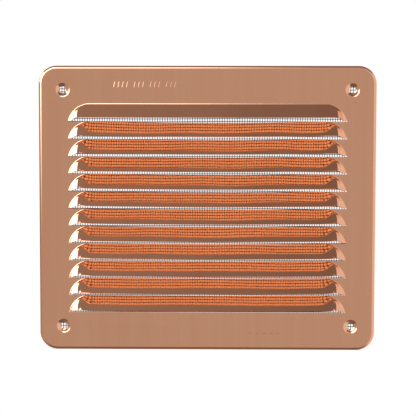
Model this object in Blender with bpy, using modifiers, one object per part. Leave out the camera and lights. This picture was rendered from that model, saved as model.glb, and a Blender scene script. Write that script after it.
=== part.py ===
"""Surface-mounted louvred ventilation grille: one pressed copper sheet and an insect mesh behind it.

Frame: +Z is up, the front faces -Y, the wall is the plane y = 0 and x = 0 is the middle of the part.
The origin lies on the rear face of the lower hem, where the grille rests on the wall.
"""

import math

import bmesh
import bpy
from mathutils import Vector

MM = 0.001

# ---- driving dimensions, metres
PLATE_W = 195.0 * MM
PLATE_H = 165.0 * MM
CORNER_R = 10.5 * MM
SHEET_T = 0.5 * MM
DEPTH = 4.0 * MM          # wall plane to the front face of the flat
EDGE_R = 2.0 * MM         # outside radius of the rolled edge and of the hem's return
HEM_IN = 6.5 * MM         # hem's inner edge, measured from the outline
HEM_MID = 3.9 * MM        # where the origin lies across the hem
HEM_CLEAR = 2.5 * MM      # straight hem stops this far before a corner starts

LOUVRES = 12
PITCH = 10.05 * MM
SLIT_L = 160.0 * MM
TOP_MARGIN = 22.2 * MM    # plate's top edge to the first bend line
KERF = 0.4 * MM           # height of a slit at its two tips
ARC_R = 12.5 * MM         # round end of a hood on the plate
ARC_LOW = ARC_R - (PITCH - KERF)     # the arc's centre lies this far below the slit's tip
ARC_L = math.sqrt(ARC_R ** 2 - ARC_LOW ** 2)
BLADE_OUT = 6.8 * MM      # free edge of a hood in front of the flat
BLADE_DOWN = 8.0 * MM     # free edge of a hood below its top edge
FIRST_DOWN = 7.65 * MM    # the same on the top hood, which bends from the plate
DOME_L = 6.6 * MM         # length of the domed end along the free edge
CROWN = 0.12              # share of the domed end over which it rounds into the blade

SCREW_X = 83.5 * MM
SCREW_Z = 68.5 * MM
SCREW_R = 1.95 * MM
DIMPLE_R = 3.9 * MM
DIMPLE_D = 1.2 * MM

MESH_T = 0.5 * MM
MESH_Y = -1.25 * MM       # middle plane of the insect mesh
MESH_IN = 3.0 * MM        # mesh edge, measured from the outline
FIELD_RIM = 2.0 * MM      # flat band triangulated on its own round the louvre field

# ---- sampling
ROWS = (1.0, 0.82, 0.64, 0.46, 0.30, 0.16, 0.05)
BETAS = (27.0, 55.0, 76.0)
CORNER_SEGMENTS = 6
CIRCLE_SEGMENTS = 16

Z_BOTTOM = -HEM_MID
Z_TOP = Z_BOTTOM + PLATE_H
Z_MID = 0.5 * (Z_BOTTOM + Z_TOP)
FLAT_Y = -DEPTH


def clear_scene():
    for obj in list(bpy.data.objects):
        bpy.data.objects.remove(obj, do_unlink=True)


def new_collection(name):
    made = bpy.data.collections.new(name)
    bpy.context.scene.collection.children.link(made)
    return made


def principled(name, colour, roughness, metallic):
    made = bpy.data.materials.new(name)
    made.use_nodes = True
    shader = made.node_tree.nodes["Principled BSDF"]
    shader.inputs["Base Color"].default_value = (*colour, 1.0)
    shader.inputs["Roughness"].default_value = roughness
    shader.inputs["Metallic"].default_value = metallic
    return made


class Sheet:
    """Collects the outer face of the sheet; points that coincide are stored once."""

    def __init__(self):
        self.points = []
        self.index = {}
        self.faces = []

    def add(self, x, y, z):
        key = (round(x, 7), round(y, 7), round(z, 7))
        if key not in self.index:
            self.index[key] = len(self.points)
            self.points.append((x, y, z))
        return self.index[key]

    def face(self, *corners):
        kept = []
        for corner in corners:
            if corner not in kept:
                kept.append(corner)
        if len(kept) > 2:
            self.faces.append(kept)


def outline(inset):
    """Round-cornered outline moved in by `inset`: (x, z, on_straight_after) counter-clockwise."""
    half_w = 0.5 * PLATE_W - CORNER_R
    half_h = 0.5 * PLATE_H - CORNER_R
    radius = CORNER_R - inset
    corners = ((half_w, -half_h, -90.0), (half_w, half_h, 0.0),
               (-half_w, half_h, 90.0), (-half_w, -half_h, 180.0))
    made = []
    for number, (cx, cz, start) in enumerate(corners):
        for step in range(CORNER_SEGMENTS + 1):
            angle = math.radians(start + 90.0 * step / CORNER_SEGMENTS)
            made.append((cx + radius * math.cos(angle), Z_MID + cz + radius * math.sin(angle)))
        # the two points where the straight hem starts and stops on the side after this corner
        nx, nz, _ = corners[(number + 1) % 4]
        length = math.hypot(nx - cx, nz - cz)
        along = ((nx - cx) / length, (nz - cz) / length)
        out = (math.cos(math.radians(start + 90.0)), math.sin(math.radians(start + 90.0)))
        for run in (HEM_CLEAR, length - HEM_CLEAR):
            made.append((cx + along[0] * run + out[0] * radius,
                         Z_MID + cz + along[1] * run + out[1] * radius))
    return made


def edge_roll(sheet):
    """Rolled edge all round, then the hem along each straight side."""
    rings = []
    for angle in (90.0, 45.0, 0.0):
        turn = math.radians(angle)
        inset = EDGE_R * (1.0 - math.cos(turn))
        depth = FLAT_Y + EDGE_R * (1.0 - math.sin(turn))
        rings.append([sheet.add(x, depth, z) for x, z in outline(inset)])
    count = len(rings[0])
    for inner, outer in zip(rings, rings[1:]):
        for n in range(count):
            m = (n + 1) % count
            sheet.face(inner[n], inner[m], outer[m], outer[n])

    per_side = CORNER_SEGMENTS + 3
    skirt = [sheet.add(x, -0.8 * MM, z) for x, z in outline(0.0)]
    hem_rings = [rings[-1]]
    for inset, depth in ((EDGE_R * (1.0 - math.sqrt(0.5)), -EDGE_R * (1.0 - math.sqrt(0.5))),
                         (EDGE_R, 0.0), (HEM_IN, 0.0)):
        hem_rings.append([sheet.add(x, depth, z) for x, z in outline(inset)])
    for side in range(4):
        base = side * per_side
        for n in range(base, base + CORNER_SEGMENTS):
            sheet.face(rings[-1][n], rings[-1][n + 1], skirt[n + 1], skirt[n])
        start = base + CORNER_SEGMENTS + 1
        for inner, outer in zip(hem_rings, hem_rings[1:]):
            sheet.face(inner[start], inner[start + 1], outer[start + 1], outer[start])
    return rings[0]


def blade_turn(beta, down):
    """Share of the drop from the plate to the free edge that is done at `beta` of the domed end."""
    full = math.atan2(BLADE_OUT, down)
    now = math.asin(math.sin(beta) * math.sin(full))
    return (1.0 - math.cos(now)) / (1.0 - math.cos(full))


def crown(t):
    """Height profile of a domed end: a straight flank that rounds over into the blade."""
    left = 1.0 - t
    return 1.0 - (math.hypot(left, CROWN) - CROWN) / (math.hypot(1.0, CROWN) - CROWN)


def hood_row(share, down):
    """One row of a domed end, from the plate to the blade: (along, out, down) from the slit's tip."""
    reach = PITCH - KERF
    foot_u = ARC_L - math.sqrt(ARC_R ** 2 - (reach * (1.0 - share) + ARC_LOW) ** 2)
    foot_w = reach * share
    blade_u = DOME_L + (ARC_L - DOME_L) * (1.0 - share) ** 6
    steep = min(1.0, share / 0.4)
    steep = steep * steep * (3.0 - 2.0 * steep)
    made = [(foot_u, 0.0, foot_w)]
    for degrees in BETAS:
        beta = math.radians(degrees)
        along = degrees / 90.0
        out = steep * crown(along) + (1.0 - steep) * along
        made.append((foot_u + (blade_u - foot_u) * along,
                     share * BLADE_OUT * out,
                     foot_w + (share * down - foot_w) * blade_turn(beta, down)))
    made.append((blade_u, share * BLADE_OUT, share * down))
    return made


def hood(sheet, z_top, down):
    """One louvre hood; gives the plate's points along its left and right foot, slit tip first."""
    feet = []
    blade_ends = []
    for side in (-1.0, 1.0):
        rows = []
        for share in ROWS:
            rows.append([sheet.add(side * (0.5 * SLIT_L - u), FLAT_Y - f, z_top - w)
                         for u, f, w in hood_row(share, down)])
        top = sheet.add(side * (0.5 * SLIT_L - ARC_L), FLAT_Y, z_top)
        for lower, upper in zip(rows, rows[1:]):
            for n in range(len(lower) - 1):
                sheet.face(lower[n], lower[n + 1], upper[n + 1], upper[n])
        for n in range(len(rows[-1]) - 1):
            sheet.face(rows[-1][n], rows[-1][n + 1], top)
        feet.append([row[0] for row in rows] + [top])
        blade_ends.append([row[-1] for row in rows] + [top])
    left, right = blade_ends
    for n in range(len(left) - 1):
        sheet.face(left[n], right[n], right[n + 1], left[n + 1])
    return feet


def screw_dimple(sheet, x, z):
    """Dimple round one screw hole; gives its mouth on the flat."""
    rings = []
    for radius, depth in ((DIMPLE_R, 0.0), (SCREW_R, DIMPLE_D)):
        ring = []
        for n in range(CIRCLE_SEGMENTS):
            angle = 2.0 * math.pi * (n + 0.5) / CIRCLE_SEGMENTS
            ring.append(sheet.add(x + radius * math.cos(angle), FLAT_Y + depth,
                                  z + radius * math.sin(angle)))
        rings.append(ring)
    for n in range(CIRCLE_SEGMENTS):
        m = (n + 1) % CIRCLE_SEGMENTS
        sheet.face(rings[0][n], rings[0][m], rings[1][m], rings[1][n])
    return rings[0]


def fill_flat(work, points, loops):
    """Fills the flat between an outer loop and the loops inside it; gives the new faces."""
    rim = []
    for loop in loops:
        for n, first in enumerate(loop):
            pair = (points[first], points[loop[(n + 1) % len(loop)]])
            rim.append(work.edges.get(pair) or work.edges.new(pair))
    made = bmesh.ops.triangle_fill(work, use_beauty=True, use_dissolve=False, edges=rim)
    return [item for item in made["geom"] if isinstance(item, bmesh.types.BMFace)]


def louvred_plate(collection):
    sheet = Sheet()
    outer = edge_roll(sheet)
    left_side = []
    right_side = []
    tips = []
    for number in range(LOUVRES):
        z_top = Z_TOP - TOP_MARGIN - number * PITCH
        left, right = hood(sheet, z_top, BLADE_DOWN if number else FIRST_DOWN)
        # each side reads downwards: bend line end, round foot, slit tip, foot of the tip
        tip = z_top - PITCH
        tips += [z_top - 0.5 * PITCH, tip]
        left_side += [*reversed(left), sheet.add(-0.5 * SLIT_L, FLAT_Y, tip)]
        right_side += [*reversed(right), sheet.add(0.5 * SLIT_L, FLAT_Y, tip)]
    hole = left_side + right_side[::-1]
    rim_x = 0.5 * SLIT_L + FIELD_RIM
    levels = [Z_TOP - TOP_MARGIN + FIELD_RIM, *tips, tips[-1] - FIELD_RIM]
    band = [sheet.add(-rim_x, FLAT_Y, z) for z in levels]
    band += [sheet.add(rim_x, FLAT_Y, z) for z in reversed(levels)]
    dimples = []
    for sx in (-1.0, 1.0):
        for sz in (-1.0, 1.0):
            dimples.append(screw_dimple(sheet, sx * SCREW_X, Z_MID + sz * SCREW_Z))

    mesh = bpy.data.meshes.new("louvred_plate")
    work = bmesh.new()
    points = [work.verts.new(p) for p in sheet.points]
    for corners in sheet.faces:
        work.faces.new([points[n] for n in corners])
    flats = fill_flat(work, points, [band, hole])
    flats += fill_flat(work, points, [outer, band, *dimples])
    loose = [v for v in work.verts if not v.link_faces]
    bmesh.ops.delete(work, geom=loose, context="VERTS")
    bmesh.ops.recalc_face_normals(work, faces=list(work.faces))
    if sum(face.normal.y * face.calc_area() for face in flats) > 0.0:
        bmesh.ops.reverse_faces(work, faces=list(work.faces))
    work.to_mesh(mesh)
    work.free()

    obj = bpy.data.objects.new("louvred_plate", mesh)
    collection.objects.link(obj)
    for polygon in mesh.polygons:
        polygon.use_smooth = True
    solid = obj.modifiers.new("sheet_thickness", "SOLIDIFY")
    solid.thickness = SHEET_T
    solid.offset = -1.0
    solid.use_even_offset = True
    solid.use_quality_normals = True
    mesh.materials.append(principled("polished_copper", (0.88, 0.467, 0.279), 0.12, 1.0))
    return obj


def insect_mesh(collection):
    mesh = bpy.data.meshes.new("insect_mesh")
    work = bmesh.new()
    ring = [work.verts.new((x, MESH_Y - 0.5 * MESH_T, z)) for x, z in outline(MESH_IN)]
    front = work.faces.new(ring)
    grown = bmesh.ops.extrude_face_region(work, geom=[front])
    moved = [item for item in grown["geom"] if isinstance(item, bmesh.types.BMVert)]
    bmesh.ops.translate(work, vec=Vector((0.0, MESH_T, 0.0)), verts=moved)
    bmesh.ops.recalc_face_normals(work, faces=list(work.faces))
    work.to_mesh(mesh)
    work.free()
    obj = bpy.data.objects.new("insect_mesh", mesh)
    collection.objects.link(obj)
    mesh.materials.append(principled("aluminium_wire", (0.35, 0.36, 0.37), 0.35, 1.0))
    return obj


clear_scene()
parts = new_collection("louvred_vent_grille")
louvred_plate(parts)
insect_mesh(parts)
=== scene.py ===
"""Looks of the louvred copper ventilation grille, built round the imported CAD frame.

Frame: metres, +Z up, the louvres face -Y, the wall is the plane y = 0 and x = 0 is the part's middle.
The plate is one pressed sheet, the insect screen behind it is woven from single wires.
"""

import math

import bmesh
import bpy
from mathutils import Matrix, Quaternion, Vector, noise


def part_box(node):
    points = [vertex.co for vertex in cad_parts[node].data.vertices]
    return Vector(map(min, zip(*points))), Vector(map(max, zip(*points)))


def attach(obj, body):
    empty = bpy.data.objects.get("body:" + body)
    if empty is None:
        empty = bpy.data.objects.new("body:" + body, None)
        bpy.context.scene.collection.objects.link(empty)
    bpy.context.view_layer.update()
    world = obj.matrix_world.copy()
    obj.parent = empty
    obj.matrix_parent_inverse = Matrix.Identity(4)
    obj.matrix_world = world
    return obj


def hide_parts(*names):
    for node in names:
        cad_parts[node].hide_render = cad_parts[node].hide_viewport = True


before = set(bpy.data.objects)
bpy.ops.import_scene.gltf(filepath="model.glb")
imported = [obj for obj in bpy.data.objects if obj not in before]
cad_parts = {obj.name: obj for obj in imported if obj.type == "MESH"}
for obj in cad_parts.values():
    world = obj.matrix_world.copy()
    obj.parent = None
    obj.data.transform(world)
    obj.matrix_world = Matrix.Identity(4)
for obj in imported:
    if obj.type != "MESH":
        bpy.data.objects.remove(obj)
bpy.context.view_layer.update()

MM = 0.001
PLATE_LO, PLATE_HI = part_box("louvred_plate")
SCREEN_LO, SCREEN_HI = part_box("insect_mesh")

# ---- the plate, metres
PLATE_W = PLATE_HI.x - PLATE_LO.x
PLATE_H = PLATE_HI.z - PLATE_LO.z
Z_TOP = PLATE_HI.z
Z_MID = 0.5 * (PLATE_LO.z + PLATE_HI.z)
CORNER_R = 10.5 * MM
SHEET_T = 0.5 * MM
FLAT_Y = -4.0 * MM
EDGE_R = 2.0 * MM
HEM_IN = 6.5 * MM
HEM_CLEAR = 2.5 * MM      # straight hem stops this far before a corner starts
SKIRT_Y = -0.8 * MM       # rear edge of the sheet round the corners, where there is no hem
FIELD_RIM = 2.0 * MM      # flat band triangulated on its own round the louvre field

# ---- the louvres, metres
LOUVRES = 12
PITCH = 10.05 * MM
SLIT_L = 160.0 * MM
TOP_MARGIN = 22.2 * MM
KERF = 0.4 * MM
ARC_R = 12.5 * MM
ARC_LOW = ARC_R - (PITCH - KERF)     # the arc's centre lies this far below the slit's tip
ARC_L = math.sqrt(ARC_R ** 2 - ARC_LOW ** 2)
BLADE_OUT = FLAT_Y - PLATE_LO.y      # free edge of a hood in front of the flat
BLADE_DOWN = 8.0 * MM     # free edge of a hood below its top edge
FIRST_DOWN = 7.65 * MM    # the same on the top hood, which bends from the plate
DOME_L = 5.6 * MM         # length of the domed end along the free edge
DOME_TURN = 6             # how late the dome's upper rows swing in to the bend line
STEEP_SHARE = 0.25        # from this row down the domed end has its full flank
END_SHARE = 0.57      # height of a hood where its domed end meets the blade
EASE_L = 9.0 * MM     # further length over which the blade rises to its full height
CROWN = 0.08          # share of the domed end over which it rounds into the blade
FILLET = 0.5 * MM         # between the flat and a hood
CLIPPED_FILLET = 0.85     # most of the way up to the slit above that a fillet may take
BLADE_WARP = 0.45 * MM    # waves of the free edges
WARP_LENGTH = 28.0 * MM
WARP_CHANGE = 0.22        # how fast the waves change from one hood to the next
WARP_FADE = 4.0           # the waves fade out over the last 1 / WARP_FADE of a half blade
SAG_FIRST = 0.60 * MM     # bow of the second hood
SAG_LAST = 0.20 * MM      # bow of the lowest hood
EDGE_SAG = 0.10 * MM      # bow of the top hood's free edge, whose bend line is straight

# ---- the screw holes and the embossed marks, metres; heights count from the plate's middle
SCREW_X = 83.5 * MM
SCREW_Z = 68.5 * MM
DIMPLE = ((4.3, 0.0), (4.05, 0.03), (3.8, 0.10), (3.5, 0.24), (3.15, 0.46),
          (2.8, 0.70), (2.45, 0.93), (2.15, 1.10), (1.95, 1.20))   # radius, depth in mm
EMBOSS_H = 0.085 * MM
EMBOSS_STEP = 0.22 * MM
TICK_GROUPS = (4, 3, 3, 3)
TICK_X = -53.4 * MM
TICK_Z = 71.4 * MM
TICK_STEP = 2.45 * MM
TICK_GAP = 1.9 * MM       # extra room between two groups
TICK_LEAN = 0.35 * MM     # half of a tick's lean
TICK_RISE = 1.6 * MM      # half of a tick's height
TICK_R = 0.42 * MM        # half of a tick's breadth
TICK_PATCH = (-36.9 * MM, 38.5 * MM, 5.2 * MM)     # middle, width, height
DASHES = 5
DASH_X = 25.4 * MM
DASH_Z = -72.2 * MM
DASH_STEP = 4.0 * MM
DASH_LEAN = 0.2 * MM
DASH_REACH = 1.1 * MM     # half of a dash's length
DASH_R = 0.36 * MM
DASH_PATCH = (33.5 * MM, 20.5 * MM, 3.0 * MM)

# ---- the insect screen, metres
WIRE_D = 0.40 * MM
WARP_PITCH = 1.45 * MM
WEFT_PITCH = 1.68 * MM
WIRE_SIDES = 6
SCREEN_EDGE = 0.3 * MM    # the wires end this far inside the CAD screen's outline
SCREEN_CORNER = CORNER_R - 3.3 * MM
WANDER_X = 0.35 * MM      # how far an upright wire strays, and over what lengths
WANDER_Z = 0.45 * MM
WANDER_LENGTH = (60.0 * MM, 50.0 * MM)
WANDER_SHIFT = Vector((7.1, 3.3, 1.9))

# ---- the finishes
COPPER_DARK = (0.865, 0.450, 0.266)
COPPER_LIGHT = (0.892, 0.482, 0.292)
COPPER_CLOUD = (0.86, 0.447, 0.264)
WIRE_DARK = (0.082, 0.076, 0.070)
WIRE_LIGHT = (0.122, 0.114, 0.105)

# ---- sampling; a row is a share of the way from a hood's top edge to its free edge
ROWS = (1.0, 0.96, 0.91, 0.85, 0.79, 0.72, 0.65, 0.58, 0.51, 0.44, 0.38, 0.32,
        0.27, 0.22, 0.18, 0.14, 0.11, 0.08)
THIN_ROWS = (0.055, 0.035, 0.018)    # only under a slit, where no bend line closes the hood
FILLET_STEPS = 5
FOOT_TRIES = 120          # half degrees of a domed end that its fillet may use up
DOME_STEPS = 13
EASE_COLUMNS = 4
MID_COLUMNS = 48
CORNER_SEGMENTS = 24
EDGE_STEPS = 9
CIRCLE_SEGMENTS = 64
CREASE = math.radians(38.0)

# ---- the studio: tones of what the plate reflects
FRONT_TONE = (0.512, 0.482, 0.475)
RIGHT_TONE = (0.55, 0.53, 0.54)
SIDE_TONE = (0.91, 0.86, 0.89)
NADIR_TONE = (0.20, 0.17, 0.15)
REAR_TONE = (0.32, 0.28, 0.26)
RIGHT_REAR_TONE = (0.91, 0.86, 0.89)
ROOF_LEFT = (0.33, 0.28, 0.27)
ROOF_RIGHT = (0.23, 0.19, 0.18)
LIGHT_TONE = (4.6, 5.1, 5.8)
BACKDROP = (1.3, 1.3, 1.3)
FLANK_TONE = (4.5, 5.0, 5.6)
DIM_TONE = (0.95, 0.92, 0.92)

# ---- the studio: where the tones lie, as a direction with full and outer angles in degrees
RIGHT_SPOT = ((0.55, -1.0, 0.1), 10.0, 60.0)
NADIR_SPOT = ((0.0, -0.5, -1.0), 26.0, 45.0)
ROOF_SPOT = ((0.0, 0.25, 1.0), 35.0, 46.0)
BACKDROP_SPOT = ((0.0, 1.0, 0.0), 38.0, 52.0)

# ---- the same, as limits of a direction's x, y and z: (axis, none from here, full from here)
SIDE_REGION = (("x", 0.28, 0.45),)
REAR_REGION = (("y", -0.35, -0.10),)
REAR_RIGHT_PART = (("x", 0.2, 0.5),)
ROOF_RIGHT_PART = (("x", -0.15, 0.15),)
LEFT_REGION = (("x", 0.12, -0.20), ("z", -0.10, 0.20), ("y", -0.94, -0.87))
DIM_REGION = (*LEFT_REGION, ("y", 0.05, -0.20))
LIGHT_REGION = (*LEFT_REGION, ("y", -0.58, -0.68))
FLANK_REGION = (("x", -0.70, -0.80), ("z", 0.12, 0.20), ("y", -0.36, -0.22), ("y", 0.25, 0.10))
SHADE_REGION = (("x", -0.89, -0.93), ("y", -0.10, -0.15), ("z", 0.14, 0.20))
WIDE_ROOF_REGION = (("x", -0.80, -0.72), ("x", 0.80, 0.72), ("z", 0.40, 0.48), ("y", -0.58, -0.52))

# ---- the floor, the surround and the camera, metres
FLOOR_R = 0.8
FLOOR_BELOW = 0.40
FLOOR_COLOUR = (0.92, 0.84, 0.76, 1.0)
SURROUND_R = 4.0
CAMERA_AWAY = Vector((6.0 * MM, -540.0 * MM, 29.0 * MM))
AIM_RIGHT = 0.5 * MM
AIM_UP = 0.5 * MM
CAMERA_ROLL = math.radians(0.12)
LENS = 80.9               # millimetres, on a sensor of the next value
SENSOR = 36.0
CLIP_START = 0.01


# ---------------------------------------------------------------- materials

def node_tree(name):
    """Empty material with one Principled shader: the material, its tree and the shader."""
    made = bpy.data.materials.new(name)
    made.use_nodes = True
    tree = made.node_tree
    tree.nodes.clear()
    out = tree.nodes.new("ShaderNodeOutputMaterial")
    shader = tree.nodes.new("ShaderNodeBsdfPrincipled")
    tree.links.new(shader.outputs["BSDF"], out.inputs["Surface"])
    return made, tree, shader


def object_noise(tree, scale, stretch=(1.0, 1.0, 1.0), detail=3.0, roughness=0.5):
    """Noise in the object's own coordinates, drawn out along an axis whose stretch is small."""
    place = tree.nodes.new("ShaderNodeTexCoord")
    mapping = tree.nodes.new("ShaderNodeMapping")
    mapping.inputs["Scale"].default_value = stretch
    tree.links.new(place.outputs["Object"], mapping.inputs["Vector"])
    made = tree.nodes.new("ShaderNodeTexNoise")
    made.inputs["Scale"].default_value = scale
    made.inputs["Detail"].default_value = detail
    made.inputs["Roughness"].default_value = roughness
    tree.links.new(mapping.outputs["Vector"], made.inputs["Vector"])
    return made.outputs["Fac"]


def spread(tree, value, low, high, to_low, to_high):
    """Maps the range low to high of a value onto to_low to to_high."""
    made = tree.nodes.new("ShaderNodeMapRange")
    for name, number in (("From Min", low), ("From Max", high), ("To Min", to_low), ("To Max", to_high)):
        made.inputs[name].default_value = number
    tree.links.new(value, made.inputs["Value"])
    return made.outputs["Result"]


def blend_colours(tree, factor, first, second):
    """Mix of two colours, each a tuple or a socket."""
    made = tree.nodes.new("ShaderNodeMix")
    made.data_type = "RGBA"
    tree.links.new(factor, made.inputs["Factor"])
    for socket, colour in ((made.inputs["A"], first), (made.inputs["B"], second)):
        if isinstance(colour, tuple):
            socket.default_value = (*colour, 1.0)
        else:
            tree.links.new(colour, socket)
    return made.outputs["Result"]


def polished_copper():
    """Polished rolled copper: faint upright streaks and clouds, reflections that blur sideways."""
    made, tree, shader = node_tree("polished_copper")
    shader.inputs["Metallic"].default_value = 1.0
    shader.inputs["Anisotropic"].default_value = 0.8
    shader.inputs["Anisotropic Rotation"].default_value = 0.25
    around = tree.nodes.new("ShaderNodeTangent")
    around.direction_type = "RADIAL"
    around.axis = "X"
    tree.links.new(around.outputs["Tangent"], shader.inputs["Tangent"])
    streaks = object_noise(tree, scale=160.0, stretch=(1.0, 1.0, 0.04), detail=4.0, roughness=0.6)
    clouds = object_noise(tree, scale=22.0, stretch=(1.0, 1.0, 0.8))
    grain = object_noise(tree, scale=900.0, stretch=(1.0, 1.0, 0.06), detail=2.0)
    streaked = spread(tree, streaks, 0.3, 0.7, 0.0, 1.0)
    clouded = spread(tree, clouds, 0.35, 0.75, 0.0, 0.35)
    base = blend_colours(tree, streaked, COPPER_DARK, COPPER_LIGHT)
    toned = blend_colours(tree, clouded, base, COPPER_CLOUD)
    tree.links.new(toned, shader.inputs["Base Color"])
    tree.links.new(spread(tree, clouds, 0.3, 0.7, 0.065, 0.08), shader.inputs["Roughness"])
    bump = tree.nodes.new("ShaderNodeBump")
    bump.inputs["Strength"].default_value = 0.06
    bump.inputs["Distance"].default_value = 0.02 * MM
    tree.links.new(grain, bump.inputs["Height"])
    tree.links.new(bump.outputs["Normal"], shader.inputs["Normal"])
    return made


def aluminium_wire():
    """Dull drawn wire."""
    made, tree, shader = node_tree("aluminium_wire")
    shader.inputs["Metallic"].default_value = 1.0
    tint = object_noise(tree, scale=300.0, detail=2.0)
    colour = blend_colours(tree, spread(tree, tint, 0.3, 0.7, 0.0, 1.0), WIRE_DARK, WIRE_LIGHT)
    tree.links.new(colour, shader.inputs["Base Color"])
    tree.links.new(spread(tree, tint, 0.3, 0.7, 0.25, 0.4), shader.inputs["Roughness"])
    return made


# ---------------------------------------------------------------- the pressed sheet

class Sheet:
    """Collects the outer face of the sheet; points that coincide are stored once."""

    def __init__(self):
        self.points = []
        self.index = {}
        self.faces = []

    def add(self, x, y, z):
        key = (round(x, 7), round(y, 7), round(z, 7))
        if key not in self.index:
            self.index[key] = len(self.points)
            self.points.append((x, y, z))
        return self.index[key]

    def face(self, *corners):
        kept = []
        for corner in corners:
            if corner not in kept:
                kept.append(corner)
        if len(kept) > 2:
            self.faces.append(kept)

    def strip(self, first, second, closed=False):
        last = len(first) if closed else len(first) - 1
        for n in range(last):
            m = (n + 1) % len(first)
            self.face(first[n], first[m], second[m], second[n])


def outline(inset):
    """Round-cornered outline moved in by `inset`, counter-clockwise from the lower right corner."""
    half_w = 0.5 * PLATE_W - CORNER_R
    half_h = 0.5 * PLATE_H - CORNER_R
    radius = CORNER_R - inset
    corners = ((half_w, -half_h, -90.0), (half_w, half_h, 0.0),
               (-half_w, half_h, 90.0), (-half_w, -half_h, 180.0))
    made = []
    for number, (cx, cz, start) in enumerate(corners):
        for step in range(CORNER_SEGMENTS + 1):
            angle = math.radians(start + 90.0 * step / CORNER_SEGMENTS)
            made.append((cx + radius * math.cos(angle), Z_MID + cz + radius * math.sin(angle)))
        nx, nz, _ = corners[(number + 1) % 4]
        length = math.hypot(nx - cx, nz - cz)
        along = ((nx - cx) / length, (nz - cz) / length)
        out = (math.cos(math.radians(start + 90.0)), math.sin(math.radians(start + 90.0)))
        for run in (HEM_CLEAR, length - HEM_CLEAR):
            made.append((cx + along[0] * run + out[0] * radius,
                         Z_MID + cz + along[1] * run + out[1] * radius))
    return made


def edge_roll(sheet):
    """Rolled edge all round, then the hem behind each straight side; gives the flat's outline."""
    rings = []
    for step in range(EDGE_STEPS + 1):
        turn = math.radians(90.0 * step / EDGE_STEPS)
        inset = EDGE_R * (1.0 - math.sin(turn))
        depth = FLAT_Y + EDGE_R * (1.0 - math.cos(turn))
        rings.append([sheet.add(x, depth, z) for x, z in outline(inset)])
    for first, second in zip(rings, rings[1:]):
        sheet.strip(first, second, closed=True)

    per_side = CORNER_SEGMENTS + 3
    skirt = [sheet.add(x, SKIRT_Y, z) for x, z in outline(0.0)]
    hem = [rings[-1]]
    for step in range(1, EDGE_STEPS + 1):
        turn = math.radians(90.0 * step / EDGE_STEPS)
        inset = EDGE_R * (1.0 - math.cos(turn))
        hem.append([sheet.add(x, -EDGE_R * (1.0 - math.sin(turn)), z) for x, z in outline(inset)])
    hem.append([sheet.add(x, 0.0, z) for x, z in outline(HEM_IN)])
    for side in range(4):
        base = side * per_side
        corner = slice(base, base + CORNER_SEGMENTS + 1)
        sheet.strip(rings[-1][corner], skirt[corner])
        straight = slice(base + CORNER_SEGMENTS + 1, base + CORNER_SEGMENTS + 3)
        for first, second in zip(hem, hem[1:]):
            sheet.strip(first[straight], second[straight])
    return rings[0]


def blade_turn(beta, down):
    """Share of the drop to the free edge that is done at `beta` of the domed end."""
    full = math.atan2(BLADE_OUT, down)
    now = math.asin(math.sin(beta) * math.sin(full))
    return (1.0 - math.cos(now)) / (1.0 - math.cos(full))


def crown(t):
    """Height profile of a domed end: a straight flank that rounds over into the blade."""
    left = 1.0 - t
    return 1.0 - (math.hypot(left, CROWN) - CROWN) / (math.hypot(1.0, CROWN) - CROWN)


def rise(u):
    """Share of its full height a blade has at `u` from the slit's tip."""
    left = 1.0 - max(0.0, min(1.0, (u - DOME_L) / EASE_L))
    return 1.0 - (1.0 - END_SHARE) * left * left


def foot_of(share):
    """Where a row meets the plate, (along, down) from the slit's tip, and the way out from there."""
    sine = ((PITCH - KERF) * (1.0 - share) + ARC_LOW) / ARC_R
    cosine = math.sqrt(max(0.0, 1.0 - sine * sine))
    return (ARC_L - ARC_R * cosine, (PITCH - KERF) * share), (-cosine, -sine)


def dome_point(share, beta, down):
    """Unfilleted point of a domed end as a vector (along, out, down)."""
    (foot_u, foot_w), _ = foot_of(share)
    blade_u = DOME_L + (ARC_L - DOME_L) * (1.0 - share) ** DOME_TURN
    steep = min(1.0, share / STEEP_SHARE)
    steep = steep * steep * (3.0 - 2.0 * steep)
    along = 2.0 * beta / math.pi
    out = steep * crown(along) + (1.0 - steep) * along
    return Vector((foot_u + (blade_u - foot_u) * along,
                   share * BLADE_OUT * rise(blade_u) * out,
                   foot_w + (share * down - foot_w) * blade_turn(beta, down)))


def rounded(outside, foot, inside):
    """Fillet from the plate up to the hood; both ends belong to it."""
    made = []
    for step in range(FILLET_STEPS + 1):
        t = step / FILLET_STEPS
        made.append(outside * (1.0 - t) ** 2 + foot * (2.0 * t * (1.0 - t)) + inside * t ** 2)
    return made


def dome_row(share, down, clipped):
    """Fillet and dome of one row, from the plate to the blade."""
    (foot_u, foot_w), (out_u, out_w) = foot_of(share)
    reach = FILLET
    if clipped:
        reach = min(reach, CLIPPED_FILLET * foot_w / max(1e-6, -out_w))
    foot = Vector((foot_u, 0.0, foot_w))
    fine = [dome_point(share, math.radians(0.5 * n), down) for n in range(FOOT_TRIES + 1)]
    run = 0.0
    start = 0
    while run < reach and start < FOOT_TRIES:
        run += (fine[start + 1] - fine[start]).length
        start += 1
    outside = foot + Vector((out_u, 0.0, out_w)) * reach
    made = rounded(outside, foot, fine[start])
    first = math.radians(0.5 * start)
    for step in range(1, DOME_STEPS + 1):
        beta = first + (0.5 * math.pi - first) * step / DOME_STEPS
        made.append(dome_point(share, beta, down))
    blade_u = made[-1].x
    for step in range(1, EASE_COLUMNS + 1):
        u = blade_u + (ARC_L - blade_u) * step / (EASE_COLUMNS + 1)
        made.append(Vector((u, share * BLADE_OUT * rise(u), share * down)))
    return made


def blade_wave(number, x, share):
    """Slight unevenness of a blade along its length, nil at its ends."""
    edge = max(0.0, 1.0 - abs(x) / (0.5 * SLIT_L - ARC_L))
    window = min(1.0, WARP_FADE * edge)
    wave = noise.noise(Vector((x / WARP_LENGTH, WARP_CHANGE * number, 0.0)))
    return BLADE_WARP * share * window * window * (3.0 - 2.0 * window) * wave


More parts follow.
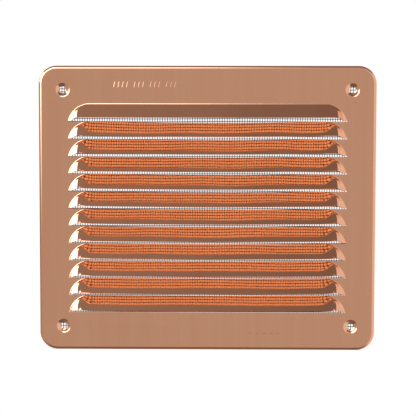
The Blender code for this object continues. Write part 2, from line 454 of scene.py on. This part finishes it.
def sag(number, x, share):
    """How far the middle of a hood hangs below its ends."""
    bow = max(0.0, 1.0 - (x / (0.5 * SLIT_L - ARC_L)) ** 2)
    if number == 0:
        return EDGE_SAG * share * bow
    return (SAG_FIRST + (SAG_LAST - SAG_FIRST) * (number - 1) / (LOUVRES - 2)) * bow


def hood(sheet, number):
    """One louvre hood; gives the plate's points along its left and right foot, bend line first."""
    z_top = Z_TOP - TOP_MARGIN - number * PITCH
    under_slit = number > 0
    down = BLADE_DOWN if under_slit else FIRST_DOWN
    shares = ROWS + THIN_ROWS if under_slit else ROWS
    sides = []
    for side in (-1.0, 1.0):
        rows = []
        for share in shares:
            rows.append([sheet.add(side * (0.5 * SLIT_L - p.x), FLAT_Y - p.y, z_top - p.z)
                         for p in dome_row(share, down, under_slit)])
        for lower, upper in zip(rows, rows[1:]):
            sheet.strip(lower, upper)
        sides.append(rows)

    half = 0.5 * SLIT_L - ARC_L
    inner_x = [half * (2.0 * n / MID_COLUMNS - 1.0) for n in range(MID_COLUMNS + 1)]
    lines = []
    for level, share in enumerate(shares):
        line = [sides[0][level][-1]]
        for x in inner_x:
            wave = blade_wave(number, x, share)
            height = share * BLADE_OUT * rise(0.5 * SLIT_L - abs(x))
            line.append(sheet.add(x, FLAT_Y - height - wave,
                                  z_top - share * down - sag(number, x, share)))
        line.append(sides[1][level][-1])
        lines.append(line)
    for lower, upper in zip(lines, lines[1:]):
        sheet.strip(lower, upper)

    feet = [[row[0] for row in reversed(rows)] for rows in sides]
    if under_slit:
        left = sheet.add(-half, FLAT_Y, z_top)
        right = sheet.add(half, FLAT_Y, z_top)
        top = [left, *[sheet.add(x, FLAT_Y, z_top - sag(number, x, 0.0)) for x in inner_x], right]
        sheet.strip(lines[-1], top)
        for corner, rows in ((left, sides[0]), (right, sides[1])):
            for n in range(len(rows[-1]) - 1):
                sheet.face(rows[-1][n], rows[-1][n + 1], corner)
        return [left, *feet[0]], [right, *feet[1]], []
    return close_bend_line(sheet, z_top, sides, lines[-1], inner_x, feet)


def close_bend_line(sheet, z_top, sides, blade_line, inner_x, feet):
    """Fillet along the top hood's bend line and round its two upper corners."""
    half = inner_x[-1]
    ends = []
    for side, rows in zip((-1.0, 1.0), sides):
        last = rows[-1][FILLET_STEPS:]
        arc = []
        for n in range(len(last)):
            share = ROWS[-1] * (1.0 - n / (len(last) - 1)) ** 2
            (u, w), (out_u, out_w) = foot_of(share)
            arc.append((Vector((u, 0.0, w)), Vector((u + out_u * FILLET, 0.0, w + out_w * FILLET))))
        columns = []
        for (foot, outside), inside in zip(arc, last):
            x, y, z = sheet.points[inside]
            inner = Vector((0.5 * SLIT_L - side * x, FLAT_Y - y, z_top - z))
            column = [sheet.add(side * (0.5 * SLIT_L - p.x), FLAT_Y - p.y, z_top - p.z)
                      for p in rounded(outside, foot, inner)]
            column[-1] = inside
            columns.append(column)
        for first, second in zip(columns, columns[1:]):
            sheet.strip(first, second)
        ends.append(columns)
    middle = []
    for x, inside in zip(inner_x, blade_line[1:-1]):
        px, y, z = sheet.points[inside]
        inner = Vector((0.0, FLAT_Y - y, z_top - z))
        column = [sheet.add(x, FLAT_Y - p.y, z_top - p.z)
                  for p in rounded(Vector((0.0, 0.0, -FILLET)), Vector((0.0, 0.0, 0.0)), inner)]
        column[-1] = inside
        middle.append(column)
    across = [ends[0][-1], *middle, ends[1][-1]]
    for first, second in zip(across, across[1:]):
        sheet.strip(first, second)
    left = [column[0] for column in reversed(ends[0][1:])]
    right = [column[0] for column in reversed(ends[1][1:])]
    bend = [column[0] for column in middle[1:-1]]
    return left + feet[0], right + feet[1], bend


def screw_dimple(sheet, x, z):
    """Dimple round one screw hole; gives its mouth on the flat."""
    rings = []
    for radius, depth in DIMPLE:
        ring = []
        for n in range(CIRCLE_SEGMENTS):
            angle = 2.0 * math.pi * n / CIRCLE_SEGMENTS
            ring.append(sheet.add(x + radius * MM * math.cos(angle), FLAT_Y + depth * MM,
                                  z + radius * MM * math.sin(angle)))
        rings.append(ring)
    for first, second in zip(rings, rings[1:]):
        sheet.strip(first, second, closed=True)
    return rings[0]


def stroke_height(x, z, strokes):
    """Height of the embossing at a point: the tallest stroke near it."""
    best = 0.0
    for (ax, az), (bx, bz), half in strokes:
        dx, dz = bx - ax, bz - az
        t = max(0.0, min(1.0, ((x - ax) * dx + (z - az) * dz) / (dx * dx + dz * dz)))
        gap = math.hypot(x - ax - t * dx, z - az - t * dz) / half
        if gap < 1.0:
            best = max(best, (1.0 - gap * gap) ** 2)
    return best * EMBOSS_H


def embossed_patch(sheet, place, centre_z, strokes):
    """Fine grid with raised strokes, let into the flat; gives its border."""
    centre_x, width, height = place
    nx = round(width / EMBOSS_STEP)
    nz = round(height / EMBOSS_STEP)
    grid = []
    for j in range(nz + 1):
        z = centre_z + height * (j / nz - 0.5)
        grid.append([sheet.add(x, FLAT_Y - stroke_height(x, z, strokes), z)
                     for x in (centre_x + width * (i / nx - 0.5) for i in range(nx + 1))])
    for lower, upper in zip(grid, grid[1:]):
        sheet.strip(lower, upper)
    right = [row[-1] for row in grid[1:]]
    left = [row[0] for row in reversed(grid[1:-1])]
    return grid[0] + right + grid[-1][-2::-1] + left


def size_mark():
    """Plain slanted ticks in four groups, in place of lettering."""
    strokes = []
    x = TICK_X
    z = Z_MID + TICK_Z
    for group in TICK_GROUPS:
        for _ in range(group):
            strokes.append(((x - TICK_LEAN, z - TICK_RISE), (x + TICK_LEAN, z + TICK_RISE), TICK_R))
            x += TICK_STEP
        x += TICK_GAP
    return strokes


def corner_mark():
    """A row of small dashes."""
    strokes = []
    z = Z_MID + DASH_Z
    for n in range(DASHES):
        x = DASH_X + DASH_STEP * n
        strokes.append(((x - DASH_REACH, z - DASH_LEAN), (x + DASH_REACH, z + DASH_LEAN), DASH_R))
    return strokes


def fill_flat(work, points, loops):
    """Fills the flat between an outer loop and the loops inside it; gives the new faces."""
    rim = []
    for loop in loops:
        for n, first in enumerate(loop):
            pair = (points[first], points[loop[(n + 1) % len(loop)]])
            rim.append(work.edges.get(pair) or work.edges.new(pair))
    made = bmesh.ops.triangle_fill(work, use_beauty=True, use_dissolve=False, edges=rim)
    return [item for item in made["geom"] if isinstance(item, bmesh.types.BMFace)]


def louvred_plate():
    """The whole pressed sheet: outer face from its points, then the thickness."""
    sheet = Sheet()
    outer = edge_roll(sheet)
    left_side, right_side, bend, tips = [], [], [], []
    for number in range(LOUVRES):
        left, right, line = hood(sheet, number)
        bend = bend or line
        tip = Z_TOP - TOP_MARGIN - (number + 1) * PITCH
        tips += [tip + 0.5 * PITCH, tip]
        slit_end = 0.5 * SLIT_L + FILLET
        left_side += [*left, sheet.add(-slit_end, FLAT_Y, tip)]
        right_side += [*right, sheet.add(slit_end, FLAT_Y, tip)]
    hole = left_side + right_side[::-1] + bend[::-1]

    rim_x = 0.5 * SLIT_L + FIELD_RIM
    levels = [Z_TOP - TOP_MARGIN + FIELD_RIM, *tips, tips[-1] - FIELD_RIM]
    band = [sheet.add(-rim_x, FLAT_Y, z) for z in levels]
    band += [sheet.add(rim_x, FLAT_Y, z) for z in reversed(levels)]
    islands = [screw_dimple(sheet, sx * SCREW_X, Z_MID + sz * SCREW_Z)
               for sx in (-1.0, 1.0) for sz in (-1.0, 1.0)]
    islands.append(embossed_patch(sheet, TICK_PATCH, Z_MID + TICK_Z, size_mark()))
    islands.append(embossed_patch(sheet, DASH_PATCH, Z_MID + DASH_Z, corner_mark()))

    mesh = bpy.data.meshes.new("pressed_copper_plate")
    work = bmesh.new()
    points = [work.verts.new(p) for p in sheet.points]
    for corners in sheet.faces:
        work.faces.new([points[n] for n in corners])
    flats = fill_flat(work, points, [band, hole])
    flats += fill_flat(work, points, [outer, band, *islands])
    loose = [v for v in work.verts if not v.link_faces]
    bmesh.ops.delete(work, geom=loose, context="VERTS")
    bmesh.ops.recalc_face_normals(work, faces=list(work.faces))
    if sum(face.normal.y * face.calc_area() for face in flats) > 0.0:
        bmesh.ops.reverse_faces(work, faces=list(work.faces))
    work.to_mesh(mesh)
    work.free()

    obj = bpy.data.objects.new("pressed_copper_plate", mesh)
    bpy.context.scene.collection.objects.link(obj)
    solid = obj.modifiers.new("sheet_thickness", "SOLIDIFY")
    solid.thickness = SHEET_T
    solid.offset = -1.0
    solid.use_even_offset = True
    solid.use_quality_normals = True
    final = bpy.data.meshes.new_from_object(obj.evaluated_get(bpy.context.evaluated_depsgraph_get()))
    obj.modifiers.clear()
    obj.data = final
    final.name = "pressed_copper_plate"
    final.shade_smooth()
    final.set_sharp_from_angle(angle=CREASE)
    final.materials.clear()
    final.materials.append(polished_copper())
    return obj


# ---------------------------------------------------------------- the insect screen

def wire_span(offset, half_across, half_along, radius):
    """Half length of a wire at `offset` from the middle, inside the screen's round-cornered outline."""
    past = abs(offset) - (half_across - radius)
    if past <= 0.0:
        return half_along
    return half_along - radius + math.sqrt(max(0.0, radius * radius - past * past))


def screen_wave(x, z):
    """Slight in-plane wander of the screen's wires."""
    where = Vector((x / WANDER_LENGTH[0], 0.0, z / WANDER_LENGTH[1]))
    return (WANDER_X * noise.noise(where), WANDER_Z * noise.noise(where + WANDER_SHIFT))


def wire_set(name, vertical):
    """All wires of one direction as one piece; each dips over and under the wires it crosses."""
    centre_x = 0.5 * (SCREEN_LO.x + SCREEN_HI.x)
    centre_z = 0.5 * (SCREEN_LO.z + SCREEN_HI.z)
    mid_y = 0.5 * (SCREEN_LO.y + SCREEN_HI.y)
    half_w = 0.5 * (SCREEN_HI.x - SCREEN_LO.x) - SCREEN_EDGE
    half_h = 0.5 * (SCREEN_HI.z - SCREEN_LO.z) - SCREEN_EDGE
    across, along = (half_w, half_h) if vertical else (half_h, half_w)
    pitch, step = (WARP_PITCH, WEFT_PITCH) if vertical else (WEFT_PITCH, WARP_PITCH)
    count = int(across / pitch)
    verts, faces = [], []
    for i in range(-count, count + 1):
        offset = i * pitch
        half = wire_span(offset, across, along, SCREEN_CORNER)
        reach = int(half / step)
        path = [(-half, 0)] + [(j * step, j) for j in range(-reach, reach + 1)] + [(half, 0)]
        first_ring = len(verts)
        for n, (run, j) in enumerate(path):
            at_end = n in (0, len(path) - 1)
            sign = 1.0 if (i + j) % 2 else -1.0
            if not vertical:
                sign = -sign
            out = 0.0 if at_end else sign * 0.5 * WIRE_D
            x, z = (offset, run) if vertical else (run, offset)
            shift_x, shift_z = screen_wave(x, z)
            x, z = (x + shift_x, z) if vertical else (x, z + shift_z)
            for k in range(WIRE_SIDES):
                turn = 2.0 * math.pi * k / WIRE_SIDES
                side, depth = 0.5 * WIRE_D * math.cos(turn), 0.5 * WIRE_D * math.sin(turn)
                dx, dz = (side, 0.0) if vertical else (0.0, side)
                verts.append((centre_x + x + dx, mid_y + out + depth, centre_z + z + dz))
        rings = len(path)
        for n in range(rings - 1):
            low = first_ring + n * WIRE_SIDES
            for k in range(WIRE_SIDES):
                m = (k + 1) % WIRE_SIDES
                faces.append((low + k, low + m, low + WIRE_SIDES + m, low + WIRE_SIDES + k))
        end = first_ring + (rings - 1) * WIRE_SIDES
        faces.append(tuple(first_ring + k for k in reversed(range(WIRE_SIDES))))
        faces.append(tuple(end + k for k in range(WIRE_SIDES)))
    mesh = bpy.data.meshes.new(name)
    mesh.from_pydata(verts, [], faces)
    work = bmesh.new()
    work.from_mesh(mesh)
    bmesh.ops.recalc_face_normals(work, faces=list(work.faces))
    work.to_mesh(mesh)
    work.free()
    mesh.shade_smooth()
    obj = bpy.data.objects.new(name, mesh)
    bpy.context.scene.collection.objects.link(obj)
    return obj


# ---------------------------------------------------------------- the studio

def sky_spot(tree, direction, way, inner, outer):
    """1 inside `inner` degrees of a direction and 0 beyond `outer`, with a soft edge."""
    dot = tree.nodes.new("ShaderNodeVectorMath")
    dot.operation = "DOT_PRODUCT"
    tree.links.new(direction, dot.inputs[0])
    dot.inputs[1].default_value = Vector(way).normalized()
    return ramp(tree, dot.outputs["Value"], math.cos(math.radians(outer)), math.cos(math.radians(inner)))


def ramp(tree, value, low, high):
    """0 up to `low` and 1 from `high` on, with a soft edge; `low` may be the larger one."""
    made = tree.nodes.new("ShaderNodeMapRange")
    made.interpolation_type = "SMOOTHSTEP"
    made.inputs["From Min"].default_value = low
    made.inputs["From Max"].default_value = high
    tree.links.new(value, made.inputs["Value"])
    return made.outputs["Result"]


def both(tree, first, second):
    """Product of two masks."""
    made = tree.nodes.new("ShaderNodeMath")
    made.operation = "MULTIPLY"
    tree.links.new(first, made.inputs[0])
    tree.links.new(second, made.inputs[1])
    return made.outputs[0]


def region(tree, axes, limits):
    """Mask of the directions inside every one of the limits."""
    mask = None
    for axis, low, high in limits:
        edge = ramp(tree, axes[axis], low, high)
        mask = both(tree, mask, edge) if mask else edge
    return mask


def studio_world():
    """Grey room in front, white backdrop behind, dark ceiling and floor, wide soft light at upper left."""
    world = bpy.data.worlds.new("studio")
    bpy.context.scene.world = world
    world.use_nodes = True
    tree = world.node_tree
    tree.nodes.clear()
    place = tree.nodes.new("ShaderNodeTexCoord").outputs["Generated"]
    split = tree.nodes.new("ShaderNodeSeparateXYZ")
    tree.links.new(place, split.inputs[0])
    axes = dict(zip("xyz", split.outputs))

    rear = blend_colours(tree, region(tree, axes, REAR_RIGHT_PART), REAR_TONE, RIGHT_REAR_TONE)
    roof = blend_colours(tree, region(tree, axes, ROOF_RIGHT_PART), ROOF_LEFT, ROOF_RIGHT)
    layers = (
        (sky_spot(tree, place, *RIGHT_SPOT), RIGHT_TONE),
        (region(tree, axes, SIDE_REGION), SIDE_TONE),
        (sky_spot(tree, place, *NADIR_SPOT), NADIR_TONE),
        (region(tree, axes, REAR_REGION), rear),
        (region(tree, axes, DIM_REGION), DIM_TONE),
        (region(tree, axes, LIGHT_REGION), LIGHT_TONE),
        (region(tree, axes, FLANK_REGION), FLANK_TONE),
        (region(tree, axes, SHADE_REGION), REAR_TONE),
        (sky_spot(tree, place, *ROOF_SPOT), roof),
        (region(tree, axes, WIDE_ROOF_REGION), roof),
        (sky_spot(tree, place, *BACKDROP_SPOT), BACKDROP),
    )
    colour = FRONT_TONE
    for mask, tone in layers:
        colour = blend_colours(tree, mask, colour, tone)

    back = tree.nodes.new("ShaderNodeBackground")
    tree.links.new(colour, back.inputs["Color"])
    out = tree.nodes.new("ShaderNodeOutputWorld")
    tree.links.new(back.outputs["Background"], out.inputs["Surface"])


def pale_floor():
    """Round pale floor well below the plate, which the copper does not mirror."""
    bpy.ops.mesh.primitive_circle_add(vertices=96, radius=FLOOR_R, fill_type="NGON",
                                      location=(0.0, 0.0, PLATE_LO.z - FLOOR_BELOW))
    floor = bpy.context.object
    floor.name = "floor"
    made, _, shader = node_tree("floor")
    shader.inputs["Base Color"].default_value = FLOOR_COLOUR
    shader.inputs["Roughness"].default_value = 0.9
    floor.data.materials.append(made)
    floor.visible_glossy = False


def white_surround():
    """Plain white all round for the camera only; reflections see the studio instead."""
    bpy.ops.mesh.primitive_uv_sphere_add(segments=48, ring_count=24, radius=SURROUND_R)
    surround = bpy.context.object
    surround.name = "white_surround"
    made, _, shader = node_tree("white_surround")
    shader.inputs["Base Color"].default_value = (0.0, 0.0, 0.0, 1.0)
    shader.inputs["Roughness"].default_value = 1.0
    shader.inputs["Specular IOR Level"].default_value = 0.0
    shader.inputs["Emission Color"].default_value = (1.0, 1.0, 1.0, 1.0)
    shader.inputs["Emission Strength"].default_value = 1.0
    surround.data.materials.append(made)
    surround.visible_diffuse = False
    surround.visible_glossy = False
    surround.visible_transmission = False
    surround.visible_shadow = False


def camera(target):
    """Long lens in front of the plate and a little above its middle."""
    data = bpy.data.cameras.new("camera")
    data.sensor_width = SENSOR
    data.lens = LENS
    data.clip_start = CLIP_START
    obj = bpy.data.objects.new("camera", data)
    bpy.context.scene.collection.objects.link(obj)
    obj.location = target + CAMERA_AWAY
    ahead = (target + Vector((AIM_RIGHT, 0.0, AIM_UP)) - obj.location).to_track_quat("-Z", "Y")
    obj.rotation_euler = (ahead @ Quaternion((0.0, 0.0, 1.0), CAMERA_ROLL)).to_euler()
    bpy.context.scene.camera = obj


# ---------------------------------------------------------------- the scene

for leftover in [o for o in bpy.context.scene.objects if o.type in {"LIGHT", "CAMERA"}]:
    bpy.data.objects.remove(leftover, do_unlink=True)

plate = louvred_plate()
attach(plate, "root")
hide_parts("louvred_plate")

wire_finish = aluminium_wire()
for wires in (wire_set("screen_upright_wires", True), wire_set("screen_level_wires", False)):
    wires.data.materials.append(wire_finish)
    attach(wires, "root")
    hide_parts("insect_mesh")

plate_centre = Vector((0.0, FLAT_Y, Z_MID))
studio_world()
pale_floor()
white_surround()
camera(plate_centre)
bpy.context.scene.view_settings.view_transform = "Standard"
